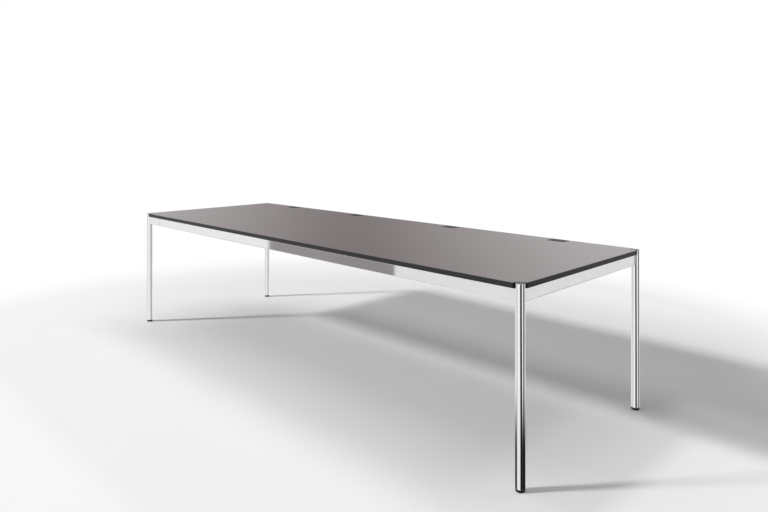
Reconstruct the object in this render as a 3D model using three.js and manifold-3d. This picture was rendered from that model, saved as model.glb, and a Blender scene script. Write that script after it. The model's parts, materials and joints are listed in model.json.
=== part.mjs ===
// Conference table: a thin laminated top on four round chromed legs, with a
// chromed rail frame under the top and four cable ports along the rear edge.
// Millimetres, +Z up, X along the table, +Y towards the edge with the ports.
import * as THREE from 'three';
import { mergeVertices } from 'three/addons/utils/BufferGeometryUtils.js';
import Module from 'manifold-3d';

const wasm = await Module();
wasm.setup();

// ---- driving dimensions -------------------------------------------------
const LENGTH = 3000;
const WIDTH = 1000;
const HEIGHT = 740;
const TOP_T = 20;          // top thickness over everything
const LAMINATE_T = 1.0;    // wear surface
const BACKING_T = 0.8;     // balancing sheet underneath
const GLUE = 0.2;          // glue line between the layers
const BAND_T = 2.7;        // edge band thickness
const LEG_R = 18;          // leg tube, outside
const LEG_WALL = 2;
const NOTCH_R = 19.1;      // finished notch round each leg
const LINER_T = 2;         // lining of the notch
const LEG_BOTTOM = 10.3;
const LEG_TOP = 739;
const RAIL_H = 50;
const RAIL_W = 15;
const RAIL_WALL = 2;
const RAIL_TOP = 719.4;
const BEAM_X = 560;        // cross beams at plus and minus this
const BEAM_W = 40;
const BEAM_H = 25;
const BOLT_Z = 694;
const PORT_X = [-1098, -404, 404, 1098];
const PORT_Y = 461;
const PORT_L = 96;         // flange of a port
const PORT_D = 66;
const THROAT_L = 80;       // opening inside a port's frame
const THROAT_D = 53.4;
const FLAP_AXIS_Y = 23.2;  // flap axis, behind the port's middle
const FLAP_AXIS_Z = -3.4;  // flap axis, below the table's surface
const PAD_R = 17.5;

const LX = LENGTH / 2 - LEG_R;
const LY = WIDTH / 2 - LEG_R;
const TOP_Z0 = HEIGHT - TOP_T;

// ---- geometry helpers ---------------------------------------------------
function solid(geometry) {
  const bare = new THREE.BufferGeometry();
  bare.setAttribute('position', geometry.getAttribute('position').clone());
  if (geometry.index) bare.setIndex(geometry.index.clone());
  const merged = mergeVertices(bare, 1e-4);
  const src = merged.index.array;
  const keep = [];
  for (let i = 0; i < src.length; i += 3) {
    const a = src[i], b = src[i + 1], c = src[i + 2];
    if (a !== b && b !== c && c !== a) keep.push(a, b, c);
  }
  const mesh = new wasm.Mesh({
    numProp: 3,
    vertProperties: new Float32Array(merged.getAttribute('position').array),
    triVerts: new Uint32Array(keep),
  });
  return new wasm.Manifold(mesh);
}

function surface(body) {
  const mesh = body.getMesh();
  const geometry = new THREE.BufferGeometry();
  const count = mesh.vertProperties.length / mesh.numProp;
  const position = new Float32Array(count * 3);
  for (let i = 0; i < count; i++) {
    for (let k = 0; k < 3; k++) position[3 * i + k] = mesh.vertProperties[mesh.numProp * i + k];
  }
  geometry.setAttribute('position', new THREE.BufferAttribute(position, 3));
  geometry.setIndex(new THREE.BufferAttribute(new Uint32Array(mesh.triVerts), 1));
  geometry.computeVertexNormals();
  return geometry;
}

function box(x0, x1, y0, y1, z0, z1) {
  const g = new THREE.BoxGeometry(x1 - x0, y1 - y0, z1 - z0);
  g.translate((x0 + x1) / 2, (y0 + y1) / 2, (z0 + z1) / 2);
  return solid(g);
}

function prism(points, z0, z1, holes = []) {
  const shape = new THREE.Shape(points.map((p) => new THREE.Vector2(p[0], p[1])));
  for (const h of holes) shape.holes.push(new THREE.Path(h.map((p) => new THREE.Vector2(p[0], p[1]))));
  const g = new THREE.ExtrudeGeometry(shape, { depth: z1 - z0, bevelEnabled: false, steps: 1 });
  g.translate(0, 0, z0);
  return solid(g);
}

// closed profile of [radius, z] turned about the Z axis
function turned(profile, segments) {
  const pts = profile.map((p) => new THREE.Vector2(p[0], p[1]));
  const onAxis = profile[0][0] === 0 && profile[profile.length - 1][0] === 0;
  if (!onAxis) pts.push(pts[0].clone());
  const g = new THREE.LatheGeometry(pts, segments);
  g.rotateX(Math.PI / 2);
  return solid(g);
}

function rod(r, from, to, segments = 24) {
  const a = new THREE.Vector3(...from), b = new THREE.Vector3(...to);
  const d = b.clone().sub(a);
  const g = new THREE.CylinderGeometry(r, r, d.length(), segments);
  g.applyQuaternion(new THREE.Quaternion().setFromUnitVectors(new THREE.Vector3(0, 1, 0), d.clone().normalize()));
  g.translate((a.x + b.x) / 2, (a.y + b.y) / 2, (a.z + b.z) / 2);
  return solid(g);
}

function roundedRect(cx, cy, w, h, r, n = 3) {
  const out = [];
  const corners = [[1, -1, -90], [1, 1, 0], [-1, 1, 90], [-1, -1, 180]];
  for (const [sx, sy, a0] of corners) {
    for (let i = 0; i <= n; i++) {
      const a = ((a0 + (90 * i) / n) * Math.PI) / 180;
      out.push([cx + sx * (w / 2 - r) + r * Math.cos(a), cy + sy * (h / 2 - r) + r * Math.sin(a)]);
    }
  }
  return out;
}

const root = new THREE.Group();
root.name = 'conference_table';

function add(parent, name, body) {
  const mesh = new THREE.Mesh(surface(body), new THREE.MeshStandardMaterial());
  mesh.name = name;
  parent.add(mesh);
  return mesh;
}

// corner frames: local +X and +Y run inwards along the two rails
const CORNERS = [
  ['front_left', -1, -1, 0],
  ['front_right', 1, -1, Math.PI / 2],
  ['rear_right', 1, 1, Math.PI],
  ['rear_left', -1, 1, -Math.PI / 2],
];

// ---- top ----------------------------------------------------------------
// path round the inner side of a leg, in the frame of its corner: straight in
// from one table edge, a quarter turn about the leg, straight out to the other
function notchPath(radius, reach, segments = 12) {
  const pts = [[radius, -reach]];
  for (let i = 0; i <= segments; i++) {
    const t = ((Math.PI / 2) * i) / segments;
    pts.push([radius * Math.cos(t), radius * Math.sin(t)]);
  }
  pts.push([-reach, radius]);
  return pts;
}

// outline of a layer: a rectangle with a notch at each leg
function notched(inset, radius) {
  const pts = [];
  // quadrant order runs counter-clockwise from the front right corner
  for (const [sx, sy] of [[1, -1], [1, 1], [-1, 1], [-1, -1]]) {
    const path = notchPath(radius, LEG_R - inset).map(([x, y]) => [sx * (LX - x), sy * (LY - y)]);
    // the path starts at the long edge
    if (sx * sy > 0) path.reverse();
    pts.push(...path);
  }
  return pts;
}

const INSET = BAND_T + 0.3;
const LAYER_NOTCH = NOTCH_R + LINER_T + 0.3;
const outline = notched(INSET, LAYER_NOTCH);
const wideCut = PORT_X.map((x) => roundedRect(x, PORT_Y, PORT_L + 0.6, PORT_D + 0.6, 6.3));
const deepCut = PORT_X.map((x) => roundedRect(x, PORT_Y, PORT_L - 6, PORT_D - 6, 4.3));

const CORE_Z0 = TOP_Z0 + BACKING_T + GLUE;
const CORE_Z1 = HEIGHT - LAMINATE_T - GLUE;
const REBATE_Z = HEIGHT - 3.0;

// screws that hold the top to the frame: at the four brackets and on the beams
const TAB_D = 47;          // from a leg's axis to its bracket's screw, on the diagonal
const topScrews = [];
for (const [name, sx, sy] of CORNERS) {
  const k = TAB_D / Math.SQRT2;
  topScrews.push(['top_screw_' + name, sx * (LX - k), sy * (LY - k), 'bracket']);
}
topScrews.push(['top_screw_beam_left', -BEAM_X, 0, 'beam']);
topScrews.push(['top_screw_beam_right', BEAM_X, 0, 'beam']);

const screwHole = topScrews.map(([, x, y]) => {
  const pts = [];
  for (let i = 0; i < 8; i++) pts.push([x + 2.5 * Math.cos((i * Math.PI) / 4), y + 2.5 * Math.sin((i * Math.PI) / 4)]);
  return pts;
});

add(root, 'top_laminate', prism(outline, HEIGHT - LAMINATE_T, HEIGHT, wideCut));
let core = prism(outline, CORE_Z0, CORE_Z1, deepCut);
for (const cut of wideCut) core = core.subtract(prism(cut, REBATE_Z - 0.3, HEIGHT));
for (const hole of screwHole) core = core.subtract(prism(hole, CORE_Z0 - 1, CORE_Z0 + 13));
add(root, 'top_core', core);
add(root, 'backing_laminate', prism(outline, TOP_Z0, TOP_Z0 + BACKING_T, [...deepCut, ...screwHole]));

// edge bands end where the notch opens; each notch has its own lining
const bx = LENGTH / 2, by = WIDTH / 2;
const bandX = LX - LAYER_NOTCH, bandY = LY - LAYER_NOTCH;
add(root, 'edge_band_front', box(-bandX, bandX, -by, -by + BAND_T, TOP_Z0, HEIGHT));
add(root, 'edge_band_rear', box(-bandX, bandX, by - BAND_T, by, TOP_Z0, HEIGHT));
add(root, 'edge_band_left', box(-bx, -bx + BAND_T, -bandY, bandY, TOP_Z0, HEIGHT));
add(root, 'edge_band_right', box(bx - BAND_T, bx, -bandY, bandY, TOP_Z0, HEIGHT));

// the rails stop short of the round legs
const cutLegs = (body, r) => {
  for (const [, sx, sy] of CORNERS) {
    body = body.subtract(rod(r, [sx * LX, sy * LY, 0], [sx * LX, sy * LY, HEIGHT + 10], 36));
  }
  return body;
};

// ---- ports --------------------------------------------------------------
const tx = THROAT_L / 2, ty = THROAT_D / 2;

function portFrame() {
  let f = prism(roundedRect(0, 0, PORT_L, PORT_D, 6), -2.9, -0.2);
  f = f.add(prism(roundedRect(0, 0, PORT_L - 6.6, PORT_D - 6.6, 4), -18, -2.0));
  // throat for the cables
  f = f.subtract(prism(roundedRect(0, 0, THROAT_L, THROAT_D, 1.2, 2), -30, 10));
  // floor behind the throat, under the flap's barrel
  f = f.add(box(-tx - 0.5, tx + 0.5, ty - 11.2, ty + 0.5, -9.4, -7.2));
  // ledges under the flap's front corners
  f = f.add(box(-tx - 0.6, -tx + 10, -ty - 0.5, -ty + 3.2, -6, -3.2));
  f = f.add(box(tx - 10, tx + 0.6, -ty - 0.5, -ty + 3.2, -6, -3.2));
  // bearing holes of the flap's pivots
  return f.subtract(rod(1.35, [-tx - 3, FLAP_AXIS_Y, FLAP_AXIS_Z], [tx + 3, FLAP_AXIS_Y, FLAP_AXIS_Z], 10));
}

function portFlap() {
  const y0 = -ty + 0.8, y1 = FLAP_AXIS_Y;
  let p = prism(roundedRect(0, (y0 + y1) / 2, THROAT_L - 1, y1 - y0, 1.2, 2), -2.9, -0.4);
  p = p.add(rod(2.6, [-tx + 0.5, y1, FLAP_AXIS_Z], [tx - 0.5, y1, FLAP_AXIS_Z], 14));
  // moulded pivots that snap into the frame
  p = p.add(rod(1.0, [-tx - 2.5, y1, FLAP_AXIS_Z], [tx + 2.5, y1, FLAP_AXIS_Z], 8));
  // cable slot at the front edge, also the finger hold
  return p.subtract(prism(roundedRect(0, y0, 44, 24, 5, 3), -10, 10));
}

PORT_X.forEach((x, i) => {
  const g = new THREE.Group();
  g.name = 'port_' + (i + 1);
  g.position.set(x, PORT_Y, HEIGHT);
  root.add(g);
  add(g, 'port_frame_' + (i + 1), portFrame());
  add(g, 'port_flap_' + (i + 1), portFlap());
});

// ---- frame rails --------------------------------------------------------
const RZ0 = RAIL_TOP - RAIL_H;
const hw = RAIL_W / 2;
const BRACKET_S = 67;      // from a leg's axis to the bracket's slot in a rail
const LEG_CLEAR = LEG_R + 0.3;

function tube(w, h, r, wall, length) {
  // a rounded rectangular tube along X, middle at the origin
  const shape = new THREE.Shape(roundedRect(0, 0, w, h, r, 2).map((p) => new THREE.Vector2(p[0], p[1])));
  const inner = roundedRect(0, 0, w - 2 * wall, h - 2 * wall, Math.max(r - wall, 0.5), 1);
  shape.holes.push(new THREE.Path(inner.map((p) => new THREE.Vector2(p[0], p[1]))));
  const g = new THREE.ExtrudeGeometry(shape, { depth: length, bevelEnabled: false, steps: 1 });
  g.translate(0, 0, -length / 2);
  // shape X becomes Y, shape Y becomes Z, depth becomes X
  g.applyMatrix4(new THREE.Matrix4().set(0, 0, 1, 0, 1, 0, 0, 0, 0, 1, 0, 0, 0, 0, 0, 1));
  return solid(g);
}

const diag = (sx, sy, d) => [sx * (LX - d / Math.SQRT2), sy * (LY - d / Math.SQRT2), BOLT_Z];

function longRail(sy) {
  let r = tube(RAIL_W, RAIL_H, 3, RAIL_WALL, 2 * LX - 8).translate(0, sy * LY, RZ0 + RAIL_H / 2);
  r = cutLegs(r, LEG_CLEAR);
  for (const sx of [-1, 1]) {
    const xs = sx * (LX - BRACKET_S);
    r = r.subtract(box(xs - 2, xs + 2, sy * LY - sy * hw - 3, sy * LY - sy * hw + 3, BOLT_Z - 19, BOLT_Z + 19));
    const xb = sx * BEAM_X;
    for (const k of [-1, 1]) {
      const xt = xb + k * (BEAM_W / 2 - 1);
      r = r.subtract(box(xt - 1.6, xt + 1.6, sy * LY - sy * hw - 3, sy * LY - sy * hw + 3, RAIL_TOP - 21, RAIL_TOP - 5));
    }
    r = r.subtract(rod(5.2, diag(sx, sy, 5), diag(sx, sy, 45), 10));
  }
  return r;
}

function sideRail(sx) {
  let r = tube(RAIL_W, RAIL_H, 3, RAIL_WALL, 2 * LY - 8).rotate(0, 0, 90).translate(sx * LX, 0, RZ0 + RAIL_H / 2);
  r = cutLegs(r, LEG_CLEAR);
  for (const sy of [-1, 1]) {
    // the side rail stops at the inner face of the long rail
    r = r.subtract(box(sx * LX - 40, sx * LX + 40, sy * LY - hw - 0.3, sy * LY + hw + 0.3, RZ0 - 5, RAIL_TOP + 5)
      .subtract(box(sx > 0 ? LX : -LX - 60, sx > 0 ? LX + 60 : -LX, sy * LY - 60, sy * LY + 60, RZ0 - 9, RAIL_TOP + 9)));
    const ys = sy * (LY - BRACKET_S);
    r = r.subtract(box(sx * LX - sx * hw - 3, sx * LX - sx * hw + 3, ys - 2, ys + 2, BOLT_Z - 19, BOLT_Z + 19));
    r = r.subtract(rod(5.2, diag(sx, sy, 5), diag(sx, sy, 45), 10));
  }
  return r;
}

add(root, 'rail_front', longRail(-1));
add(root, 'rail_rear', longRail(1));
add(root, 'rail_left', sideRail(-1));
add(root, 'rail_right', sideRail(1));

// ---- cross beams, hooked into the long rails ------------------------------
function crossBeam(x) {
  const len = 2 * (LY - hw - 0.4);
  let b = tube(BEAM_W, BEAM_H, 2.5, 2, len).rotate(0, 0, 90).translate(x, 0, RAIL_TOP - BEAM_H / 2);
  for (const sy of [-1, 1]) {
    for (const k of [-1, 1]) {
      const xt = x + k * (BEAM_W / 2 - 1);
      const y0 = sy * (len / 2 - 10), y1 = sy * (len / 2 + 8);
      b = b.add(box(xt - 1, xt + 1, Math.min(y0, y1), Math.max(y0, y1), RAIL_TOP - 20.5, RAIL_TOP - 5.5));
    }
  }
  // way for the screw, and a wider hole below for the driver
  b = b.subtract(rod(2.9, [x, 0, RAIL_TOP - 5], [x, 0, RAIL_TOP + 5], 10));
  b = b.subtract(rod(6.5, [x, 0, RAIL_TOP - BEAM_H - 5], [x, 0, RAIL_TOP - BEAM_H + 5], 12));
  return b;
}
add(root, 'cross_beam_left', crossBeam(-BEAM_X));
add(root, 'cross_beam_right', crossBeam(BEAM_X));

for (const [name, x, y, where] of topScrews) {
  // pan head below, shank up into the core
  const z = where === 'beam' ? RAIL_TOP - 2.3 : RAIL_TOP - 3.3;
  add(root, name, turned([[0, z - 3], [3, z - 3], [4.6, z - 1.6], [4.6, z], [2.1, z], [2.1, 732.5], [0.3, 734], [0, 734]], 10)
    .translate(x, y, 0));
}

// ---- corners: legs, brackets, bolts and feet ------------------------------
function legTube() {
  const r0 = LEG_R - LEG_WALL;
  let t = turned([[r0, LEG_BOTTOM], [LEG_R, LEG_BOTTOM], [LEG_R, LEG_TOP], [r0, LEG_TOP]], 32);
  const k = 1 / Math.SQRT2;
  return t.subtract(rod(4.35, [6 * k, 6 * k, BOLT_Z], [30 * k, 30 * k, BOLT_Z], 12));
}

function legCap() {
  // plug with a thin flange that covers the end of the tube
  const r0 = LEG_R - LEG_WALL - 0.4;
  return turned([[0, LEG_TOP - 1.5], [r0 - 2.5, LEG_TOP - 1.5], [r0 - 2.5, LEG_TOP - 14], [r0, LEG_TOP - 14], [r0, LEG_TOP + 0.3],
    [LEG_R - 0.3, LEG_TOP + 0.3], [LEG_R - 0.3, LEG_TOP + 0.7], [LEG_R - 0.6, LEG_TOP + 1], [0, LEG_TOP + 1]], 24);
}

function legInsert() {
  const r0 = LEG_R - LEG_WALL - 0.4;
  return turned([[5.4, 11.2], [r0, 11.2], [r0, 40], [r0 - 1.6, 41.5], [5.4, 41.5]], 20);
}

function footStud() {
  return turned([[0, 4.2], [4.9, 4.2], [4.9, 47], [3.9, 48], [0, 48]], 14);
}

function footPad() {
  return turned([[0, 0], [PAD_R - 1.2, 0], [PAD_R, 1.2], [PAD_R, 8.8], [PAD_R - 0.8, 9.8], [5.3, 9.8], [5.3, 3.9], [0, 3.9]], 28);
}

function notchLiner() {
  // lining of the notch, flush with the two table edges, its lips rounded
  const r = LINER_T - 0.2;
  const lip = [];
  for (let i = 0; i <= 3; i++) {
    const t = Math.PI + (Math.PI / 2) * (i / 3);
    lip.push([NOTCH_R + r + r * Math.cos(t), r - LEG_R + r * Math.sin(t)]);
  }
  const back = notchPath(NOTCH_R + LINER_T, LEG_R);
  const face = notchPath(NOTCH_R, LEG_R).slice(1, -1).reverse();
  const far = lip.map(([x, y]) => [y, x]).reverse();
  return prism([...back, ...far, ...face, ...lip], TOP_Z0, HEIGHT);
}

function cornerBracket() {
  // bent plate whose ends hook into the slots of both rails
  const s = BRACKET_S, z0 = BOLT_Z - 18, z1 = BOLT_Z + 18;
  const t = 3;
  const outer = [[s + t / 2, hw - 7], [s + t / 2, hw + 6], [hw + 6, s + t / 2], [hw - 7, s + t / 2]];
  const inner = [[hw - 7, s - t / 2], [hw + 4.4, s - t / 2], [s - t / 2, hw + 4.4], [s - t / 2, hw - 7]];
  let b = prism([...outer, ...inner], z0, z1);
  // tab under the top
  const k = 1 / Math.SQRT2;
  const at = (d, u) => [d * k - u * k, d * k + u * k];
  const web = (s + hw + 5) / Math.SQRT2;
  b = b.add(prism([at(TAB_D - 10, -9), at(web, -16), at(web, 16), at(TAB_D - 10, 9)], RAIL_TOP - 3, RAIL_TOP));
  b = b.add(prism([at(web - 2.6, -16), at(web, -16), at(web, 16), at(web - 2.6, 16)], z1 - 4, RAIL_TOP));
  const hole = at(TAB_D, 0);
  b = b.subtract(rod(2.9, [hole[0], hole[1], RAIL_TOP - 10], [hole[0], hole[1], RAIL_TOP + 5], 10));
  return b.subtract(rod(4.5, [10 * k, 10 * k, BOLT_Z], [90 * k, 90 * k, BOLT_Z], 12));
}

function cornerBolt() {
  // hexagon screw from the bracket into the leg
  const k = 1 / Math.SQRT2;
  const seat = (BRACKET_S + hw + 7.6) / Math.SQRT2 + 0.6;
  const p = (d) => [d * k, d * k, BOLT_Z];
  return rod(3.95, p(9), p(seat + 1), 12).add(rod(7.5, p(seat), p(seat + 5.3), 6));
}

for (const [name, sx, sy, turn] of CORNERS) {
  const g = new THREE.Group();
  g.name = 'corner_' + name;
  g.position.set(sx * LX, sy * LY, 0);
  g.rotation.z = turn;
  root.add(g);
  add(g, 'leg_' + name, legTube());
  add(g, 'leg_cap_' + name, legCap());
  add(g, 'leg_insert_' + name, legInsert());
  add(g, 'foot_stud_' + name, footStud());
  add(g, 'foot_pad_' + name, footPad());
  add(g, 'notch_liner_' + name, notchLiner());
  add(g, 'corner_bracket_' + name, cornerBracket());
  add(g, 'corner_bolt_' + name, cornerBolt());
}

export default root;
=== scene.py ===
import json
import math
import bpy
import bmesh
from mathutils import Matrix, Vector


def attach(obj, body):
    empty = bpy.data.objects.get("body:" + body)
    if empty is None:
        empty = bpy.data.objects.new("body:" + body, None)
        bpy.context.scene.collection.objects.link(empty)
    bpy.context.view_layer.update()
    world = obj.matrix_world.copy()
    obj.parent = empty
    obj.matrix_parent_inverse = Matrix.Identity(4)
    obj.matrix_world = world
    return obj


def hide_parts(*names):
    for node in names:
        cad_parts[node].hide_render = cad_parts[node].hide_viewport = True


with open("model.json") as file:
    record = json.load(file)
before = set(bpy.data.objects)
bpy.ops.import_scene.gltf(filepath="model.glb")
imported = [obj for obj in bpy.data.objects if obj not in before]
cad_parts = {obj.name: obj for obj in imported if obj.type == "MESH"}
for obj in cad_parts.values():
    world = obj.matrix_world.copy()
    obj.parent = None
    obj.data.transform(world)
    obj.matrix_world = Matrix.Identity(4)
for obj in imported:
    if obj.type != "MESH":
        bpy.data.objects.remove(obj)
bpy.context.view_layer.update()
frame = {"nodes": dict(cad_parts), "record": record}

nodes = frame["nodes"]
MM = 0.001

# ---- sizes of the table, in millimetres -----------------------------------
LEN, WID, HGT = 3000.0, 1000.0, 740.0
TOP_Z0 = 720.0
LEG_R = 18.0
LX, LY = LEN / 2 - LEG_R, WID / 2 - LEG_R
NOTCH_R, LINER_T = 19.1, 2.0
BAND_T = 2.7
RAIL_W, RAIL_H, RAIL_TOP = 15.0, 50.0, 719.4
PORT_X = (-1098.0, -404.0, 404.0, 1098.0)
PORT_Y = 461.0
AXIS_Y, AXIS_Z = 23.2, -3.4
BOLT_Z = 694.0
CORNERS = (
    ("front_left", -1, -1, 0.0),
    ("front_right", 1, -1, math.pi / 2),
    ("rear_right", 1, 1, math.pi),
    ("rear_left", -1, 1, -math.pi / 2),
)


# ---- materials ---------------------------------------------------------------
def new_material(name):
    m = bpy.data.materials.new(name)
    m.use_nodes = True
    t = m.node_tree
    t.nodes.clear()
    out = t.nodes.new("ShaderNodeOutputMaterial")
    p = t.nodes.new("ShaderNodeBsdfPrincipled")
    t.links.new(p.outputs["BSDF"], out.inputs["Surface"])
    c = t.nodes.new("ShaderNodeTexCoord")
    return m, t, p, c.outputs["Object"]


def noise(t, vec, scale, detail=4.0, rough=0.55, stretch=None):
    n = t.nodes.new("ShaderNodeTexNoise")
    n.inputs["Scale"].default_value = scale
    n.inputs["Detail"].default_value = detail
    n.inputs["Roughness"].default_value = rough
    if stretch:
        mp = t.nodes.new("ShaderNodeMapping")
        mp.inputs["Scale"].default_value = stretch
        t.links.new(vec, mp.inputs["Vector"])
        vec = mp.outputs["Vector"]
    t.links.new(vec, n.inputs["Vector"])
    return n.outputs["Fac"]


def ramp(t, fac, stops):
    r = t.nodes.new("ShaderNodeValToRGB")
    els = r.color_ramp.elements
    while len(els) < len(stops):
        els.new(0.5)
    for e, (pos, col) in zip(els, stops):
        e.position = pos
        e.color = (*col, 1.0)
    t.links.new(fac, r.inputs["Fac"])
    return r.outputs["Color"]


def spread(t, fac, lo, hi, a=0.3, b=0.7):
    r = t.nodes.new("ShaderNodeMapRange")
    r.inputs["From Min"].default_value = a
    r.inputs["From Max"].default_value = b
    r.inputs["To Min"].default_value = lo
    r.inputs["To Max"].default_value = hi
    t.links.new(fac, r.inputs["Value"])
    return r.outputs["Result"]


def bump(t, p, height, strength, distance, under=None):
    b = t.nodes.new("ShaderNodeBump")
    b.inputs["Strength"].default_value = strength
    b.inputs["Distance"].default_value = distance
    t.links.new(height, b.inputs["Height"])
    if under:
        t.links.new(under, b.inputs["Normal"])
    t.links.new(b.outputs["Normal"], p.inputs["Normal"])
    return b.outputs["Normal"]


def grey(v, warm=0.0):
    return (v * (1 + warm), v, v * (1 - warm * 0.2))


MATS = {}

# satin laminate: fine two-tone speckle with a softly mottled gloss
m, t, p, vec = new_material("laminate_grey")
fine = noise(t, vec, 1400.0, 2.0, 0.6)
cloud = noise(t, vec, 3.0, 3.0, 0.5)
tone = ramp(t, fine, [(0.30, (0.125, 0.099, 0.100)), (0.5, (0.128, 0.101, 0.102)), (0.70, (0.131, 0.104, 0.105))])
mix = t.nodes.new("ShaderNodeMix")
mix.data_type = "RGBA"
mix.blend_type = "MULTIPLY"
mix.inputs["Factor"].default_value = 0.5
t.links.new(tone, mix.inputs["A"])
t.links.new(ramp(t, cloud, [(0.3, (0.97, 0.97, 0.97)), (0.7, (1.0, 1.0, 1.0))]), mix.inputs["B"])
t.links.new(mix.outputs["Result"], p.inputs["Base Color"])
t.links.new(spread(t, noise(t, vec, 60.0, 3.0), 0.285, 0.315), p.inputs["Roughness"])
p.inputs["Specular IOR Level"].default_value = 0.5
bump(t, p, noise(t, vec, 900.0, 3.0), 0.008, 0.0002)
MATS["laminate_grey"] = m

# black edge band: short horizontal grain
m, t, p, vec = new_material("edge_black")
g = noise(t, vec, 500.0, 3.0, 0.6, (0.15, 0.15, 1.0))
t.links.new(ramp(t, g, [(0.3, grey(0.016)), (0.7, grey(0.022))]), p.inputs["Base Color"])
t.links.new(spread(t, noise(t, vec, 220.0), 0.40, 0.50), p.inputs["Roughness"])
p.inputs["Specular IOR Level"].default_value = 0.27
bump(t, p, g, 0.10, 0.0002)
MATS["edge_black"] = m

# polished chrome: near mirror with faint wiping marks
m, t, p, vec = new_material("chrome")
p.inputs["Metallic"].default_value = 1.0
t.links.new(ramp(t, noise(t, vec, 14.0, 3.0), [(0.3, (0.90, 0.90, 0.905)), (0.7, (0.94, 0.94, 0.94))]), p.inputs["Base Color"])
t.links.new(spread(t, noise(t, vec, 260.0, 4.0, 0.6, (1.0, 1.0, 0.2)), 0.018, 0.04), p.inputs["Roughness"])
MATS["chrome"] = m

# moulded black plastic: fine spark-eroded texture
m, t, p, vec = new_material("plastic_black")
g = noise(t, vec, 1500.0, 3.0, 0.7)
t.links.new(ramp(t, g, [(0.3, grey(0.016)), (0.7, grey(0.028))]), p.inputs["Base Color"])
t.links.new(spread(t, noise(t, vec, 120.0), 0.48, 0.60), p.inputs["Roughness"])
p.inputs["Specular IOR Level"].default_value = 0.21
bump(t, p, g, 0.25, 0.0002)
MATS["plastic_black"] = m

# smooth moulded black: the leg caps
m, t, p, vec = new_material("plastic_smooth")
g = noise(t, vec, 700.0, 3.0, 0.6)
t.links.new(ramp(t, g, [(0.3, grey(0.014)), (0.7, grey(0.022))]), p.inputs["Base Color"])
t.links.new(spread(t, noise(t, vec, 120.0), 0.24, 0.32), p.inputs["Roughness"])
p.inputs["Specular IOR Level"].default_value = 0.2
bump(t, p, g, 0.03, 0.0002)
MATS["plastic_smooth"] = m

# plain moulded insert
m, t, p, vec = new_material("plastic_dark")
g = noise(t, vec, 400.0)
t.links.new(ramp(t, g, [(0.3, grey(0.055)), (0.7, grey(0.075))]), p.inputs["Base Color"])
t.links.new(spread(t, g, 0.45, 0.6), p.inputs["Roughness"])
bump(t, p, g, 0.1, 0.0002)
MATS["plastic_dark"] = m

# zinc plating: bluish mottle with drawn marks
m, t, p, vec = new_material("zinc")
p.inputs["Metallic"].default_value = 1.0
g = noise(t, vec, 90.0, 5.0, 0.65)
t.links.new(ramp(t, g, [(0.3, (0.50, 0.51, 0.53)), (0.7, (0.66, 0.67, 0.69))]), p.inputs["Base Color"])
t.links.new(spread(t, noise(t, vec, 700.0, 3.0, 0.6, (1.0, 1.0, 0.2)), 0.24, 0.42), p.inputs["Roughness"])
bump(t, p, noise(t, vec, 800.0), 0.08, 0.0002)
MATS["zinc"] = m

# black powder coat: orange peel
m, t, p, vec = new_material("steel_black")
g = noise(t, vec, 700.0, 2.0, 0.5)
t.links.new(ramp(t, noise(t, vec, 30.0), [(0.3, grey(0.022)), (0.7, grey(0.030))]), p.inputs["Base Color"])
t.links.new(spread(t, noise(t, vec, 150.0), 0.34, 0.46), p.inputs["Roughness"])
bump(t, p, g, 0.30, 0.0003)
MATS["steel_black"] = m

# pressed board: chips of several browns
m, t, p, vec = new_material("board")
v = t.nodes.new("ShaderNodeTexVoronoi")
v.inputs["Scale"].default_value = 420.0
t.links.new(vec, v.inputs["Vector"])
t.links.new(ramp(t, v.outputs["Distance"], [(0.0, (0.36, 0.25, 0.14)), (0.4, (0.50, 0.37, 0.22)), (0.9, (0.30, 0.20, 0.11))]), p.inputs["Base Color"])
t.links.new(spread(t, v.outputs["Distance"], 0.75, 0.95, 0.0, 1.0), p.inputs["Roughness"])
bump(t, p, v.outputs["Distance"], 0.4, 0.0004)
MATS["board"] = m

# backing sheet: matt grey with a fine tooth
m, t, p, vec = new_material("backing_grey")
g = noise(t, vec, 1100.0, 2.0, 0.6)
t.links.new(ramp(t, g, [(0.3, (0.28, 0.265, 0.262)), (0.7, (0.33, 0.315, 0.31))]), p.inputs["Base Color"])
t.links.new(spread(t, noise(t, vec, 40.0), 0.5, 0.62), p.inputs["Roughness"])
bump(t, p, g, 0.1, 0.0002)
MATS["backing_grey"] = m

for sub in frame["record"]["subparts"]:
    o = nodes[sub["node"]]
    o.data.materials.clear()
    o.data.materials.append(MATS[sub["material_slot"]])


# ---- mesh helpers ------------------------------------------------------------
def make(name, verts, faces, slot, body, replaces=(), sharp=32.0, flat=False, finish=None):
    """verts in millimetres in the row frame."""
    me = bpy.data.meshes.new(name)
    me.from_pydata([(x * MM, y * MM, z * MM) for x, y, z in verts], [], faces)
    bm = bmesh.new()
    bm.from_mesh(me)
    bmesh.ops.remove_doubles(bm, verts=bm.verts, dist=1e-7)
    bmesh.ops.recalc_face_normals(bm, faces=bm.faces)
    bm.to_mesh(me)
    bm.free()
    me.polygons.foreach_set("use_smooth", [True] * len(me.polygons))
    me.set_sharp_from_angle(angle=math.radians(sharp))
    me.materials.append(MATS[finish or slot])
    o = bpy.data.objects.new(name, me)
    bpy.context.scene.collection.objects.link(o)
    if flat:
        # large flats keep their own normal, so that mirrored lines stay straight
        w = o.modifiers.new("flats", "WEIGHTED_NORMAL")
        w.mode = "FACE_AREA"
        w.weight = 100
        w.keep_sharp = True
    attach(o, body)
    if replaces:
        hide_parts(*replaces)
    return o


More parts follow.
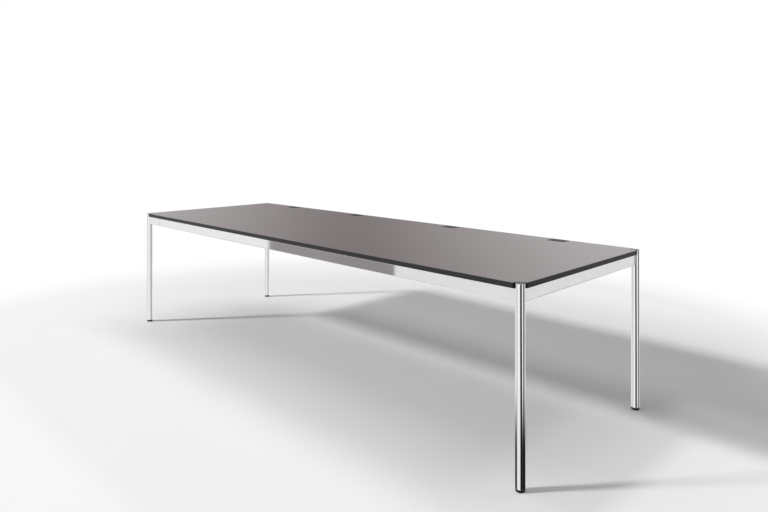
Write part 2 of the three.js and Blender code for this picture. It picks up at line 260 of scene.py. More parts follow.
class Geo:
    def __init__(self):
        self.v, self.f = [], []

    def loops(self, rings, closed=False, caps=(False, False)):
        """Skin over rings of equal length; each ring is itself closed."""
        base = len(self.v)
        n = len(rings[0])
        for r in rings:
            self.v.extend(r)
        last = len(rings) if closed else len(rings) - 1
        for i in range(last):
            a, b = base + i * n, base + ((i + 1) % len(rings)) * n
            for k in range(n):
                self.f.append((a + k, a + (k + 1) % n, b + (k + 1) % n, b + k))
        if caps[0]:
            self.f.append(tuple(base + k for k in reversed(range(n))))
        if caps[1]:
            self.f.append(tuple(base + (len(rings) - 1) * n + k for k in range(n)))
        return self

    def box(self, x0, x1, y0, y1, z0, z1):
        lo = [(x0, y0, z0), (x1, y0, z0), (x1, y1, z0), (x0, y1, z0)]
        hi = [(x, y, z1) for x, y, _ in lo]
        return self.loops([lo, hi], caps=(True, True))

    def move(self, mat):
        self.v = [tuple(mat @ Vector(p)) for p in self.v]
        return self


def turned_rings(profile, segs, shape=None):
    """Rings for a turned closed profile [(r, z)...]; shape(angle, r, z) may change r."""
    rings = []
    for r, z in profile:
        ring = []
        for k in range(segs):
            a = 2 * math.pi * k / segs
            rr = shape(a, r, z) if shape else r
            ring.append((rr * math.cos(a), rr * math.sin(a), z))
        rings.append(ring)
    return rings


def round_corner(cx, cz, r, a0, a1, n=5):
    return [(cx + r * math.cos(math.radians(a0 + (a1 - a0) * i / n)), cz + r * math.sin(math.radians(a0 + (a1 - a0) * i / n))) for i in range(n + 1)]


def rounded_rect(w, h, r, n=8, cx=0.0, cy=0.0):
    out = []
    for sx, sy, a0 in ((1, -1, -90), (1, 1, 0), (-1, 1, 90), (-1, -1, 180)):
        out += round_corner(cx + sx * (w / 2 - r), cy + sy * (h / 2 - r), r, a0, a0 + 90, n)
    return out


def corner_matrix(sx, sy, turn):
    return Matrix.Translation((sx * LX, sy * LY, 0)) @ Matrix.Rotation(turn, 4, "Z")


# ---- edge bands --------------------------------------------------------------
def band_section():
    """(across from the outer face, z): outer corners rounded."""
    r = 0.9
    pts = [(BAND_T, TOP_Z0), (BAND_T, HGT)]
    pts += [(r - r * math.sin(math.radians(a)), HGT - r + r * math.cos(math.radians(a))) for a in range(0, 91, 15)]
    pts += [(r - r * math.cos(math.radians(a)), TOP_Z0 + r - r * math.sin(math.radians(a))) for a in range(0, 91, 15)]
    return pts


def band(name, along, side):
    half = LX if along == "x" else LY
    edge = WID / 2 if along == "x" else LEN / 2
    cut = NOTCH_R + LINER_T + 0.3
    rings = []
    for end in (-1, 1):
        ring = []
        for d, z in band_section():
            a = end * (half - cut)
            c = side * (edge - d)
            ring.append((a, c, z) if along == "x" else (c, a, z))
        rings.append(ring)
    g = Geo().loops(rings, caps=(True, True))
    make(name + "_moulded", g.v, g.f, "edge_black", "table", (name,), 25, True)


band("edge_band_front", "x", -1)
band("edge_band_rear", "x", 1)
band("edge_band_left", "y", -1)
band("edge_band_right", "y", 1)


# ---- corners -----------------------------------------------------------------
def liner(mat, name):
    """Lining of the notch: in from one edge, a quarter turn about the leg, out to the other."""
    lip = LINER_T - 0.2
    ends = [0.0, 0.05, 0.2, 0.5, 0.9, 1.3, lip, 6.0, 12.0]
    # stations: point on the face, direction into the board, how far the lip has turned away
    path = []
    for e in ends:
        path.append(((NOTCH_R, e - LEG_R), (1.0, 0.0), e))
    n = 40
    for k in range(n + 1):
        c, d = math.cos(math.pi / 2 * k / n), math.sin(math.pi / 2 * k / n)
        path.append(((NOTCH_R * c, NOTCH_R * d), (c, d), lip))
    for e in reversed(ends):
        path.append(((e - LEG_R, NOTCH_R), (0.0, 1.0), e))
    rings = []
    for (x, y), (nx, ny), e in path:
        away = lip - math.sqrt(max(0.0, lip * lip - (lip - min(e, lip)) ** 2))
        sec = [(away, TOP_Z0), (away, HGT - 0.6), (away + 0.05, HGT - 0.35), (away + 0.1, HGT - 0.1), (away + 0.15, HGT), (LINER_T, HGT), (LINER_T, TOP_Z0)]
        rings.append([(x + nx * d, y + ny * d, z) for d, z in sec])
    g = Geo().loops(rings, caps=(True, True)).move(mat)
    make(name + "_moulded", g.v, g.f, "edge_black", "table", (name,), 30)


def leg(mat, name):
    r0 = LEG_R - 2.0
    z0, z1 = 10.3, 739.0
    prof = [(r0, z0 + 0.3), (r0 + 0.3, z0), (LEG_R - 0.6, z0)]
    prof += round_corner(LEG_R - 0.6, z0 + 0.6, 0.6, -90, 0, 4)[1:]
    # rings close to the rounded ends keep the long wall straight in reflections
    zs = [z0 + 1.0, z0 + 1.5, 60, 160, 260, 360, 460, 560, 660, z1 - 1.5, z1 - 1.0]
    prof += [(LEG_R, z) for z in zs]
    prof += round_corner(LEG_R - 0.6, z1 - 0.6, 0.6, 0, 90, 4)
    prof += [(r0 + 0.3, z1), (r0, z1 - 0.3)]
    g = Geo().loops(turned_rings(prof, 96), closed=True).move(mat)
    make(name + "_tube", g.v, g.f, "chrome", "table", (name,), 50)


def cap(mat, name):
    z1 = 739.0
    prof = [(0.01, z1 - 1.5), (13.1, z1 - 1.5), (13.1, z1 - 14), (15.1, z1 - 14), (15.6, z1 - 13), (15.6, z1 + 0.3), (17.5, z1 + 0.3), (17.7, z1 + 0.45)]
    prof += round_corner(17.3, z1 + 0.6, 0.4, 0, 90, 5)
    prof += [(13.0, z1 + 1.0), (12.8, z1 + 0.8), (12.4, z1 + 0.8), (12.2, z1 + 1.0), (6.0, z1 + 1.0), (0.01, z1 + 1.0)]
    g = Geo().loops(turned_rings(prof, 80), caps=(True, True)).move(mat)
    make(name + "_moulded", g.v, g.f, "plastic_black", "table", (name,), 35, finish="plastic_smooth")


def pad(mat, name, body):
    segs, ribs = 240, 48

    def ribbed(a, r, z):
        if r > 16.7 and 2.2 < z < 8.2:
            return r - 0.35 * (0.5 + 0.5 * math.cos(a * ribs)) ** 3
        return r

    prof = [(0.01, 0.0), (10.0, 0.0), (16.3, 0.0)]
    prof += round_corner(16.3, 1.2, 1.2, -90, 0, 5)[1:]
    prof += [(17.5, z) for z in (2.0, 2.5, 4.0, 6.0, 7.9, 8.4)]
    prof += round_corner(16.5, 8.8, 1.0, 0, 90, 5)
    prof += [(9.0, 9.8), (8.7, 9.2), (5.6, 9.2), (5.3, 8.9), (5.3, 3.9), (0.01, 3.9)]
    g = Geo().loops(turned_rings(prof, segs, ribbed), caps=(True, True)).move(mat)
    make(name + "_ribbed", g.v, g.f, "plastic_black", body, (name,), 40)


def stud(mat, name, body):
    pitch, segs, step = 1.5, 40, 8

    def thread(a, r, z):
        if r < 4.0 or z < 5.0 or z > 46.8:
            return r
        ph = (z / pitch - a / (2 * math.pi)) % 1.0
        return 4.02 + 0.86 * min(1.0, max(0.0, 1.35 - abs(ph - 0.5) * 3.4))

    prof = [(0.01, 4.2), (3.6, 4.2), (4.1, 4.7), (4.1, 5.0)]
    z = 5.0 + pitch / step
    while z < 46.8:
        prof.append((4.9, z))
        z += pitch / step
    prof += [(4.05, 46.9), (3.6, 48.0), (0.01, 48.0)]
    g = Geo().loops(turned_rings(prof, segs, thread), caps=(True, True)).move(mat)
    make(name + "_threaded", g.v, g.f, "zinc", body, (name,), 60)


def bolt(mat, name):
    seat = (67.0 + 7.5 + 7.6) / math.sqrt(2) + 0.6
    hexr = 13.0 / math.sqrt(3)

    def hexed(a, r, z):
        if z <= seat + 1.0:
            return r
        k = math.pi / 3
        flat = 6.5 / math.cos(((a + k / 2) % k) - k / 2)
        return min(r, flat)

    prof = [(0.01, 9.0), (3.2, 9.0), (3.95, 9.8), (3.95, seat), (6.3, seat), (6.3, seat + 0.4), (6.4, seat + 1.0), (hexr, seat + 1.1)]
    prof += [(hexr, seat + 4.4), (6.9, seat + 4.9), (6.2, seat + 5.3), (5.0, seat + 5.3), (4.6, seat + 5.0), (0.01, seat + 5.0)]
    aim = Matrix.Rotation(math.pi / 4, 4, "Z") @ Matrix.Rotation(math.pi / 2, 4, "Y")
    g = Geo().loops(turned_rings(prof, 72, hexed), caps=(True, True))
    g.move(mat @ Matrix.Translation((0, 0, BOLT_Z)) @ aim)
    make(name + "_hex", g.v, g.f, "zinc", "table", (name,), 30)


def top_screw(x, y, z, name):
    def recess(a, r, zz):
        if r < 2.3 and zz < z - 0.4 and zz > z - 2.9:
            return r * (1.0 + 0.22 * math.cos(6 * a))
        return r

    prof = [(0.01, z - 1.2), (1.5, z - 1.2), (1.75, z - 1.6), (1.9, z - 2.8), (2.4, z - 3.0), (3.0, z - 3.0), (3.9, z - 2.5), (4.4, z - 1.6), (4.6, z - 0.6), (4.6, z), (2.1, z), (2.1, 731.5), (1.2, 733.0), (0.3, 734.0), (0.01, 734.0)]
    g = Geo().loops(turned_rings(prof, 48, recess), caps=(True, True)).move(Matrix.Translation((x, y, 0)))
    make(name + "_pan", g.v, g.f, "zinc", "table", (name,), 35)


for corner, sx, sy, turn in CORNERS:
    mat = corner_matrix(sx, sy, turn)
    liner(mat, "notch_liner_" + corner)
    leg(mat, "leg_" + corner)
    cap(mat, "leg_cap_" + corner)
    pad(mat, "foot_pad_" + corner, "pad_" + corner)
    stud(mat, "foot_stud_" + corner, "stud_" + corner)
    bolt(mat, "corner_bolt_" + corner)
    k = 47.0 / math.sqrt(2)
    top_screw(sx * (LX - k), sy * (LY - k), RAIL_TOP - 3.3, "top_screw_" + corner)
for side, sx in (("left", -1), ("right", 1)):
    top_screw(sx * 560.0, 0.0, RAIL_TOP - 2.3, "top_screw_beam_" + side)


# ---- rails -------------------------------------------------------------------
def rail_section(w, h, r, n=6, across=12):
    """Closed section (across, up) with extra points on the flats, so that the coped ends stay round."""
    pts = []
    for sx, sy, a0 in ((1, -1, -90), (1, 1, 0), (-1, 1, 90), (-1, -1, 180)):
        pts += round_corner(sx * (w / 2 - r), sy * (h / 2 - r), r, a0, a0 + 90, n)
        if a0 in (0, 180):
            # along the top from +w to -w, and along the bottom back
            x0, x1 = sx * (w / 2 - r), -sx * (w / 2 - r)
            pts += [(x0 + (x1 - x0) * i / across, sy * h / 2) for i in range(1, across)]
    return pts


def rail(name, along, side):
    half = LX if along == "x" else LY
    axis = LY if along == "x" else LX
    zc = RAIL_TOP - RAIL_H / 2
    clear = LEG_R + 0.3
    outer = rail_section(RAIL_W, RAIL_H, 3.0)
    inner = rail_section(RAIL_W - 4, RAIL_H - 4, 1.2)

    def ring(sec, end, frac=1.0):
        out = []
        for d, z in sec:
            a = end * (half - math.sqrt(clear * clear - d * d)) * frac
            c = side * (axis + d)
            out.append((a, c, zc + z) if along == "x" else (c, a, zc + z))
        return out

    cuts = [-1.0, -0.98, -0.9, -0.7, -0.5, -0.25, 0.0, 0.25, 0.5, 0.7, 0.9, 0.98, 1.0]

    def stations(sec):
        return [ring(sec, 1 if f > 0 else -1, abs(f)) for f in cuts]

    rings = stations(outer) + list(reversed(stations(inner)))
    g = Geo().loops(rings, closed=True)
    make(name + "_tube", g.v, g.f, "chrome", "table", (name,), 40, True)


rail("rail_front", "x", -1)
rail("rail_rear", "x", 1)
rail("rail_left", "y", -1)
rail("rail_right", "y", 1)

# cross beams and brackets keep their shape, with their edges broken
for n in ("cross_beam_left", "cross_beam_right", *("corner_bracket_" + c[0] for c in CORNERS)):
    b = nodes[n].modifiers.new("edge", "BEVEL")
    b.width = 0.0004
    b.segments = 2
    b.limit_method = "ANGLE"
    b.angle_limit = math.radians(50)


# ---- cable ports -------------------------------------------------------------
def port_frame(i, px):
    at = Matrix.Translation((px, PORT_Y, HGT))

    def loop(w, h, r, z):
        return [(x, y, z) for x, y in rounded_rect(w, h, r)]

    rings = [loop(89.0, 59.0, 3.7, -18.0), loop(89.4, 59.4, 4.0, -17.6), loop(89.4, 59.4, 4.0, -2.9), loop(95.2, 65.2, 5.6, -2.9), loop(96.0, 66.0, 6.0, -2.5)]
    rings += [loop(96.0, 66.0, 6.0, -0.9), loop(95.8, 65.8, 5.9, -0.5), loop(95.3, 65.3, 5.65, -0.27), loop(94.6, 64.6, 5.3, -0.2)]
    rings += [loop(81.6, 55.0, 1.9, -0.2), loop(80.8, 54.2, 1.5, -0.35), loop(80.2, 53.6, 1.25, -0.8), loop(80.0, 53.4, 1.2, -1.4)]
    rings += [loop(80.0, 53.4, 1.2, -17.4), loop(80.6, 54.0, 1.5, -18.0)]
    g = Geo().loops(rings, closed=True)
    g.box(-39.99, 39.99, 15.5, 26.69, -9.4, -7.2)
    g.box(-39.99, -30, -26.69, -23.5, -6, -3.2)
    g.box(30, 39.99, -26.69, -23.5, -6, -3.2)
    # guide ribs inside the throat
    for x in (-30, -15, 0, 15, 30):
        g.box(x - 0.7, x + 0.7, 25.2, 26.69, -7.2, -4.8)
    g.move(at)
    make(f"port_frame_{i}_moulded", g.v, g.f, "plastic_black", "table", (f"port_frame_{i}",), 32, True)


def port_flap(i, px):
    at = Matrix.Translation((px, PORT_Y, HGT))
    y0, y1 = -25.9, AXIS_Y
    # outline with the cable slot at the front edge
    right = []
    right += round_corner(22 + 1.5, y0 + 1.5, 1.5, 180, 270, 4)
    right += round_corner(39.5 - 1.2, y0 + 1.2, 1.2, -90, 0, 4)
    right += [(39.5, y1)]
    left = [(-x, y) for x, y in reversed(right)]
    back = round_corner(-17.0, y0 + 7.0, 5.0, 180, 90, 6)
    outline = right + left + back + [(-x, y) for x, y in reversed(back)]

    def inset(d):
        # move each point along its averaged normal
        n = len(outline)
        out = []
        for k in range(n):
            ax, ay = outline[k - 1]
            bx, by = outline[k]
            cx, cy = outline[(k + 1) % n]
            e1 = Vector((bx - ax, by - ay)).normalized()
            e2 = Vector((cx - bx, cy - by)).normalized()
            nrm = Vector((-(e1 + e2).y, (e1 + e2).x))
            if nrm.length < 1e-6:
                nrm = Vector((-e1.y, e1.x))
            nrm.normalize()
            s = max(0.5, nrm.dot(Vector((-e1.y, e1.x))))
            out.append((bx + nrm.x * d / s, by + nrm.y * d / s))
        return out

    rings = [[(x, y, z) for x, y in inset(d)] for d, z in ((0.35, -2.9), (0.0, -2.55), (0.0, -1.0), (0.15, -0.6), (0.6, -0.4))]
    g = Geo().loops(rings, caps=(True, True))
    # barrel and its pivots, turned about the hinge line
    prof = [(0.01, -42.5), (0.8, -42.5), (1.0, -42.3), (1.0, -39.5), (2.3, -39.5), (2.6, -39.2), (2.6, 39.2), (2.3, 39.5), (1.0, 39.5), (1.0, 42.3), (0.8, 42.5), (0.01, 42.5)]
    b = Geo().loops(turned_rings(prof, 40), caps=(True, True))
    b.move(Matrix.Translation((0, AXIS_Y, AXIS_Z)) @ Matrix.Rotation(math.pi / 2, 4, "Y"))
    off = len(g.v)
    g.v += b.v
    g.f += [tuple(q + off for q in f) for f in b.f]
    # stiffening ribs under the flap
    for x in (-34, -26, 26, 34):
        g.box(x - 0.6, x + 0.6, -22.0, 19.0, -4.2, -2.85)
    g.move(at)
    make(f"port_flap_{i}_moulded", g.v, g.f, "plastic_black", f"flap_{i}", (f"port_flap_{i}",), 32, True)


for i, px in enumerate(PORT_X, 1):
    port_frame(i, px)
    port_flap(i, px)


# ---- studio ------------------------------------------------------------------
scene = bpy.context.scene
scene.view_settings.view_transform = "Standard"
scene.view_settings.look = "None"
scene.view_settings.exposure = 0.0
scene.view_settings.gamma = 1.0

# pale floor that fades into the white background, with painted light lifting it round the table's shadows
R = 40.0
floor_me = bpy.data.meshes.new("floor")
seg = 96
fv = [(0.0, 0.0, 0.0)]
for rad in (2.0, 5.0, 10.0, 20.0, R):
    fv += [(rad * math.cos(2 * math.pi * k / seg), rad * math.sin(2 * math.pi * k / seg), 0.0) for k in range(seg)]
ff = [(0, 1 + k, 1 + (k + 1) % seg) for k in range(seg)]
for q in range(4):
    a, b = 1 + q * seg, 1 + (q + 1) * seg
    ff += [(a + k, b + k, b + (k + 1) % seg, a + (k + 1) % seg) for k in range(seg)]
floor_me.from_pydata([(x, y, z - 0.0005) for x, y, z in fv], [], ff)
floor = bpy.data.objects.new("floor", floor_me)
scene.collection.objects.link(floor)
fm = bpy.data.materials.new("floor_pale")
fm.use_nodes = True
ft = fm.node_tree
ft.nodes.clear()
fo = ft.nodes.new("ShaderNodeOutputMaterial")
fd = ft.nodes.new("ShaderNodeBsdfDiffuse")
fc = ft.nodes.new("ShaderNodeTexCoord")
ft.links.new(ramp(ft, noise(ft, fc.outputs["Object"], 1.3, 3.0), [(0.3, (0.80, 0.80, 0.80)), (0.7, (0.82, 0.82, 0.82))]), fd.inputs["Color"])
fl = ft.nodes.new("ShaderNodeVectorMath")
fl.operation = "LENGTH"
ft.links.new(fc.outputs["Object"], fl.inputs[0])
fr = ft.nodes.new("ShaderNodeMapRange")
fr.interpolation_type = "SMOOTHSTEP"
fr.inputs["From Min"].default_value = 2.0
fr.inputs["From Max"].default_value = 3.4
ft.links.new(fl.outputs["Value"], fr.inputs["Value"])
fe = ft.nodes.new("ShaderNodeEmission")
fe.inputs["Color"].default_value = (1, 1, 1, 1)
fe.inputs["Strength"].default_value = 1.0
fx = ft.nodes.new("ShaderNodeMixShader")
# painted light: a first, partial step towards white emission lifts the floor outside the table's cast shadow
fs = ft.nodes.new("ShaderNodeMapping")
fs.inputs["Location"].default_value = (-0.4 / 2.3, -0.35 / 1.45, 0.0)
fs.inputs["Scale"].default_value = (1 / 2.3, 1 / 1.45, 1.0)
ft.links.new(fc.outputs["Object"], fs.inputs["Vector"])
fn = ft.nodes.new("ShaderNodeVectorMath")
fn.operation = "LENGTH"
ft.links.new(fs.outputs["Vector"], fn.inputs[0])
painted_lift_ellipse = ft.nodes.new("ShaderNodeMapRange")
painted_lift_ellipse.interpolation_type = "SMOOTHSTEP"
painted_lift_ellipse.inputs["From Min"].default_value = 0.9
painted_lift_ellipse.inputs["From Max"].default_value = 1.45
painted_lift_ellipse.inputs["To Max"].default_value = 0.5
ft.links.new(fn.outputs["Value"], painted_lift_ellipse.inputs["Value"])
fxyz = ft.nodes.new("ShaderNodeSeparateXYZ")
ft.links.new(fc.outputs["Object"], fxyz.inputs[0])


def floor_step(axis, start, end, amount):
    n = ft.nodes.new("ShaderNodeMapRange")
    n.interpolation_type = "SMOOTHSTEP"
    n.inputs["From Min"].default_value = start
    n.inputs["From Max"].default_value = end
    n.inputs["To Max"].default_value = amount
    ft.links.new(fxyz.outputs[axis], n.inputs["Value"])
    return n.outputs["Result"]


def floor_math(op, a, b):
    n = ft.nodes.new("ShaderNodeMath")
    n.operation = op
    ft.links.new(a, n.inputs[0])
    ft.links.new(b, n.inputs[1])
    return n.outputs[0]


# painted light: white emission lifts the floor again in front of the table and at its right end, where it also
# lightens the end of the table's cast shadow
front = floor_math("MAXIMUM", floor_step("Y", -0.62, -0.98, 0.48), floor_step("Y", -1.25, -1.6, 0.7))
right = floor_math("MULTIPLY", floor_step("X", 1.64, 1.84, 0.48), floor_step("Y", 0.55, 0.25, 1.0))
end = floor_math("MULTIPLY", floor_step("X", 1.12, 1.42, 0.13), floor_step("Y", 0.50, 0.36, 1.0))
edge = floor_math("MULTIPLY", floor_step("X", 1.52, 1.70, 0.13), floor_step("Y", 0.90, 0.60, 1.0))
right = floor_math("MAXIMUM", right, floor_math("MAXIMUM", end, edge))
# the fade to the white background and the painted light lifts together set how much white emission replaces the
# floor's shading
white = floor_math("MAXIMUM", floor_math("MAXIMUM", fr.outputs["Result"], painted_lift_ellipse.outputs["Result"]), floor_math("MAXIMUM", front, right))
ft.links.new(white, fx.inputs["Fac"])
ft.links.new(fd.outputs["BSDF"], fx.inputs[1])
ft.links.new(fe.outputs["Emission"], fx.inputs[2])
ft.links.new(fx.outputs["Shader"], fo.inputs["Surface"])
floor_me.materials.append(fm)
floor.visible_glossy = False

# surroundings: bright panels with dark gaps between them, by direction
world = bpy.data.worlds.new("studio")
scene.world = world
world.use_nodes = True
wt = world.node_tree
wt.nodes.clear()
wo = wt.nodes.new("ShaderNodeOutputWorld")
wc = wt.nodes.new("ShaderNodeTexCoord")
ws = wt.nodes.new("ShaderNodeSeparateXYZ")
wt.links.new(wc.outputs["Generated"], ws.inputs[0])


def wmath(op, a, b=None):
    n = wt.nodes.new("ShaderNodeMath")
    n.operation = op
    for i, s in enumerate((a, b)):
        if s is None:
            continue
        if isinstance(s, (int, float)):
            n.inputs[i].default_value = s
        else:
            wt.links.new(s, n.inputs[i])
    return n.outputs[0]


def wstep(value, a, b, lo=0.0, hi=1.0):
    n = wt.nodes.new("ShaderNodeMapRange")
    n.interpolation_type = "SMOOTHSTEP"
    n.inputs["From Min"].default_value = a
    n.inputs["From Max"].default_value = b
    n.inputs["To Min"].default_value = lo
    n.inputs["To Max"].default_value = hi
    wt.links.new(value, n.inputs["Value"])
    return n.outputs["Result"]


az = wmath("MULTIPLY", wmath("ARCTAN2", ws.outputs["Y"], ws.outputs["X"]), 180 / math.pi)
az = wmath("MODULO", wmath("ADD", az, 720.0), 360.0)
el = wmath("MULTIPLY", wmath("ARCSINE", ws.outputs["Z"]), 180 / math.pi)


def window(value, a, b, soft_a, soft_b):
    """1 between a and b, 0 outside, with soft ends."""
    return wmath("MULTIPLY", wstep(value, a - soft_a, a + soft_a), wstep(value, b - soft_b, b + soft_b, 1.0, 0.0))


# below the horizon: the gap that the front rail mirrors, and the darker corners
low = wstep(el, -1.5, 0.5, 1.0, 0.0)
high = wmath("SUBTRACT", 1.0, low)
gap_rail = window(az, 214.7, 226.0, 0.2, 0.1)
gap_side = window(az, 7.5, 52.5, 1.5, 3.0)
gap_back = window(az, 129.0, 147.0, 13.0, 13.0)


def keep(fac, amount):
    return wmath("SUBTRACT", 1.0, wmath("MULTIPLY", fac, amount))


# below the horizon the panel left of the gap is the brighter one
under = wstep(az, 219.0, 222.0, 0.87, 0.785)
# past the end of the front rail, and beside the dark screen, it is brighter again
bright = wmath("MAXIMUM", wmath("MAXIMUM", wstep(az, 243.0, 256.0, 0.0, 0.16), wstep(az, 330.0, 340.0, 0.0, 0.22)), wstep(az, 8.0, 12.0, 0.12, 0.0))
under = wmath("ADD", under, wmath("MULTIPLY", bright, wstep(el, -25.0, -21.5, 0.35, 1.0)))
value = wmath("ADD", wmath("MULTIPLY", low, under), wmath("MULTIPLY", high, wstep(az, 110.0, 124.0, 1.2, 1.0)))
value = wmath("MULTIPLY", value, keep(wmath("MULTIPLY", gap_rail, low), 0.655))
value = wmath("MULTIPLY", value, keep(wmath("MULTIPLY", window(az, 52.5, 100.0, 2.0, 10.0), low), 0.13))
value = wmath("MULTIPLY", value, keep(gap_side, 0.85))
value = wmath("MULTIPLY", value, keep(wmath("MULTIPLY", gap_back, high), 0.81))
# further down there is a dark band, apart from the side the key light reaches
deep = window(el, -33.0, -23.2, 2.0, 2.7)
lit_side = window(az, 226.0, 312.0, 3.0, 1.5)
dark = wmath("MULTIPLY", deep, wmath("SUBTRACT", 1.0, lit_side))
value = wmath("MULTIPLY", value, keep(dark, 0.95))

lp = wt.nodes.new("ShaderNodeLightPath")
bg_gloss = wt.nodes.new("ShaderNodeBackground")
wt.links.new(value, bg_gloss.inputs["Strength"])
# the gaps are a warm grey
warm = wmath("MAXIMUM", wmath("MULTIPLY", gap_rail, low), wmath("MULTIPLY", gap_side, low))
tint = wt.nodes.new("ShaderNodeMix")
tint.data_type = "RGBA"
tint.inputs["A"].default_value = (1.0, 1.0, 1.0, 1.0)
tint.inputs["B"].default_value = (1.06, 0.98, 0.98, 1.0)
wt.links.new(warm, tint.inputs["Factor"])
bg_diff = wt.nodes.new("ShaderNodeBackground")
bg_diff.inputs["Strength"].default_value = 0.025
bg_cam = wt.nodes.new("ShaderNodeBackground")
bg_cam.inputs["Strength"].default_value = 1.0
for bg in (bg_diff, bg_cam):
    bg.inputs["Color"].default_value = (1, 1, 1, 1)
wt.links.new(tint.outputs["Result"], bg_gloss.inputs["Color"])
mix1 = wt.nodes.new("ShaderNodeMixShader")
wt.links.new(lp.outputs["Is Diffuse Ray"], mix1.inputs["Fac"])
wt.links.new(bg_gloss.outputs[0], mix1.inputs[1])
wt.links.new(bg_diff.outputs[0], mix1.inputs[2])
mix2 = wt.nodes.new("ShaderNodeMixShader")
wt.links.new(lp.outputs["Is Camera Ray"], mix2.inputs["Fac"])
wt.links.new(mix1.outputs[0], mix2.inputs[1])
wt.links.new(bg_cam.outputs[0], mix2.inputs[2])
wt.links.new(mix2.outputs[0], wo.inputs["Surface"])


def soft_light(name, azimuth, elevation, distance, size, watts):
    d = bpy.data.lights.new(name, "AREA")
    d.shape = "DISK"
    d.size = size
    d.energy = watts
    o = bpy.data.objects.new(name, d)
    a, e = math.radians(azimuth), math.radians(elevation)
    pos = Vector((math.cos(a) * math.cos(e), math.sin(a) * math.cos(e), math.sin(e))) * distance + Vector((0, 0, 0.4))
    o.location = pos
    o.rotation_euler = (Vector((0, 0, 0.4)) - pos).to_track_quat("-Z", "Y").to_euler()
    o.visible_glossy = False
    o.visible_camera = False
    scene.collection.objects.link(o)
    return o


soft_light("key", 232.0, 29.8, 60.0, 6.6, 31900.0)
soft_light("back", 60.0, 70.0, 20.0, 8.5, 500.0)
soft_light("top", 190.0, 68.5, 20.0, 18.2, 1590.0)


def card(name, x, y, r, top, tones, left_top=None):
    """Curved pale reflector beside a far leg, seen only in mirror reflections."""
    me = bpy.data.meshes.new(name)
    a0, a1, n = -78.0, 70.0, 36
    vv = []
    for k in range(n + 1):
        a = math.radians(a0 + (a1 - a0) * k / n)
        h = left_top if left_top and a < math.radians(-18.0) else top
        vv += [(r * math.cos(a), r * math.sin(a), -0.5), (r * math.cos(a), r * math.sin(a), h)]
    me.from_pydata(vv, [], [(2 * k, 2 * k + 2, 2 * k + 3, 2 * k + 1) for k in range(n)])
    cm = bpy.data.materials.new(name)
    cm.use_nodes = True
    ct = cm.node_tree
    ct.nodes.clear()
    co = ct.nodes.new("ShaderNodeOutputMaterial")
    ce = ct.nodes.new("ShaderNodeEmission")
    cc = ct.nodes.new("ShaderNodeTexCoord")
    cs = ct.nodes.new("ShaderNodeSeparateXYZ")
    ct.links.new(cc.outputs["Object"], cs.inputs[0])
    ca = ct.nodes.new("ShaderNodeMath")
    ca.operation = "ARCTAN2"
    ct.links.new(cs.outputs["Y"], ca.inputs[0])
    ct.links.new(cs.outputs["X"], ca.inputs[1])
    cr = ct.nodes.new("ShaderNodeMapRange")
    cr.inputs["From Min"].default_value = math.radians(a0)
    cr.inputs["From Max"].default_value = math.radians(a1)
    ct.links.new(ca.outputs[0], cr.inputs["Value"])
    # from the left end to the right end as seen from the leg
    shade = ramp(ct, cr.outputs["Result"], [(k, (v, v, v)) for k, v in tones])
    ct.links.new(shade, ce.inputs["Color"])
    ct.links.new(ce.outputs[0], co.inputs["Surface"])
    me.materials.append(cm)
    o = bpy.data.objects.new(name, me)
    o.location = (x, y, 0.0)
    scene.collection.objects.link(o)
    o.visible_camera = False
    o.visible_diffuse = False
    o.visible_transmission = False
    o.visible_shadow = False
    return o


card("card_front", -LX * MM, -LY * MM, 0.10, 0.64, [(0.0, 0.92), (0.29, 0.86), (0.45, 0.74), (0.53, 0.62), (0.80, 0.40), (1.0, 0.42)], 0.735)
card("card_rear", -LX * MM, LY * MM, 0.33, 0.62, [(0.0, 0.90), (0.20, 0.86), (0.50, 0.60), (0.85, 0.56), (1.0, 0.60)])



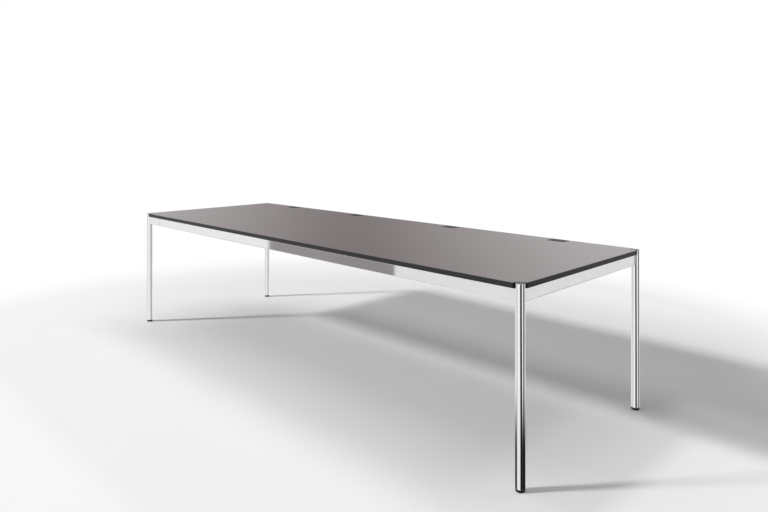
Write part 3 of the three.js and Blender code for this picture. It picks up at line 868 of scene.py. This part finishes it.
def dark_screen(name, y, outline, low_level, high_level):
    """Dark screen in front of the table, seen only in mirror reflections."""
    me = bpy.data.meshes.new(name)
    me.from_pydata([(px, 0.0, pz) for px, pz in outline], [], [tuple(range(len(outline)))])
    sm = bpy.data.materials.new(name)
    sm.use_nodes = True
    st = sm.node_tree
    st.nodes.clear()
    so = st.nodes.new("ShaderNodeOutputMaterial")
    se = st.nodes.new("ShaderNodeEmission")
    se.inputs["Color"].default_value = (1.0, 1.0, 1.0, 1.0)
    sc = st.nodes.new("ShaderNodeTexCoord")
    sz = st.nodes.new("ShaderNodeSeparateXYZ")
    st.links.new(sc.outputs["Object"], sz.inputs[0])
    sr = st.nodes.new("ShaderNodeMapRange")
    sr.inputs["From Min"].default_value = -1.1
    sr.inputs["From Max"].default_value = -0.1
    sr.inputs["To Min"].default_value = low_level
    sr.inputs["To Max"].default_value = high_level
    st.links.new(sz.outputs["Z"], sr.inputs["Value"])
    st.links.new(sr.outputs["Result"], se.inputs["Strength"])
    st.links.new(se.outputs[0], so.inputs["Surface"])
    me.materials.append(sm)
    o = bpy.data.objects.new(name, me)
    o.location = (0.0, y, 0.0)
    scene.collection.objects.link(o)
    o.visible_camera = False
    o.visible_diffuse = False
    o.visible_transmission = False
    o.visible_shadow = False
    return o


# its left side slants, so that it narrows downwards in the two near legs
dark_screen("dark_screen", -2.25, [
    (2.34, 0.50), (2.34, 0.25), (2.41, -0.05), (2.58, -0.45), (2.70, -0.85), (2.72, -1.2), (2.72, -4.5),
    (9.5, -4.5), (8.6, -2.4), (6.7, -0.7), (6.5, 0.50)], 0.008, 0.07)

# ---- camera ------------------------------------------------------------------
cam_d = bpy.data.cameras.new("camera")
cam_d.sensor_fit = "HORIZONTAL"
cam_d.sensor_width = 36.0
cam_d.lens = 630.4 / 768.0 * 36.0
cam_d.shift_x = 0.7 / 768.0
cam_d.shift_y = -117.07 / 768.0
cam_d.clip_start = 0.05
cam_d.clip_end = 200.0
cam_d.dof.use_dof = False
cam = bpy.data.objects.new("camera", cam_d)
scene.collection.objects.link(cam)
cam.location = (2.7246, -2.4134, 1.2524)
cam.rotation_euler = Vector((-math.sin(math.pi / 4 + 0.00024), math.cos(math.pi / 4 + 0.00024), 0)).to_track_quat("-Z", "Y").to_euler()
scene.camera = cam

bpy.context.view_layer.update()
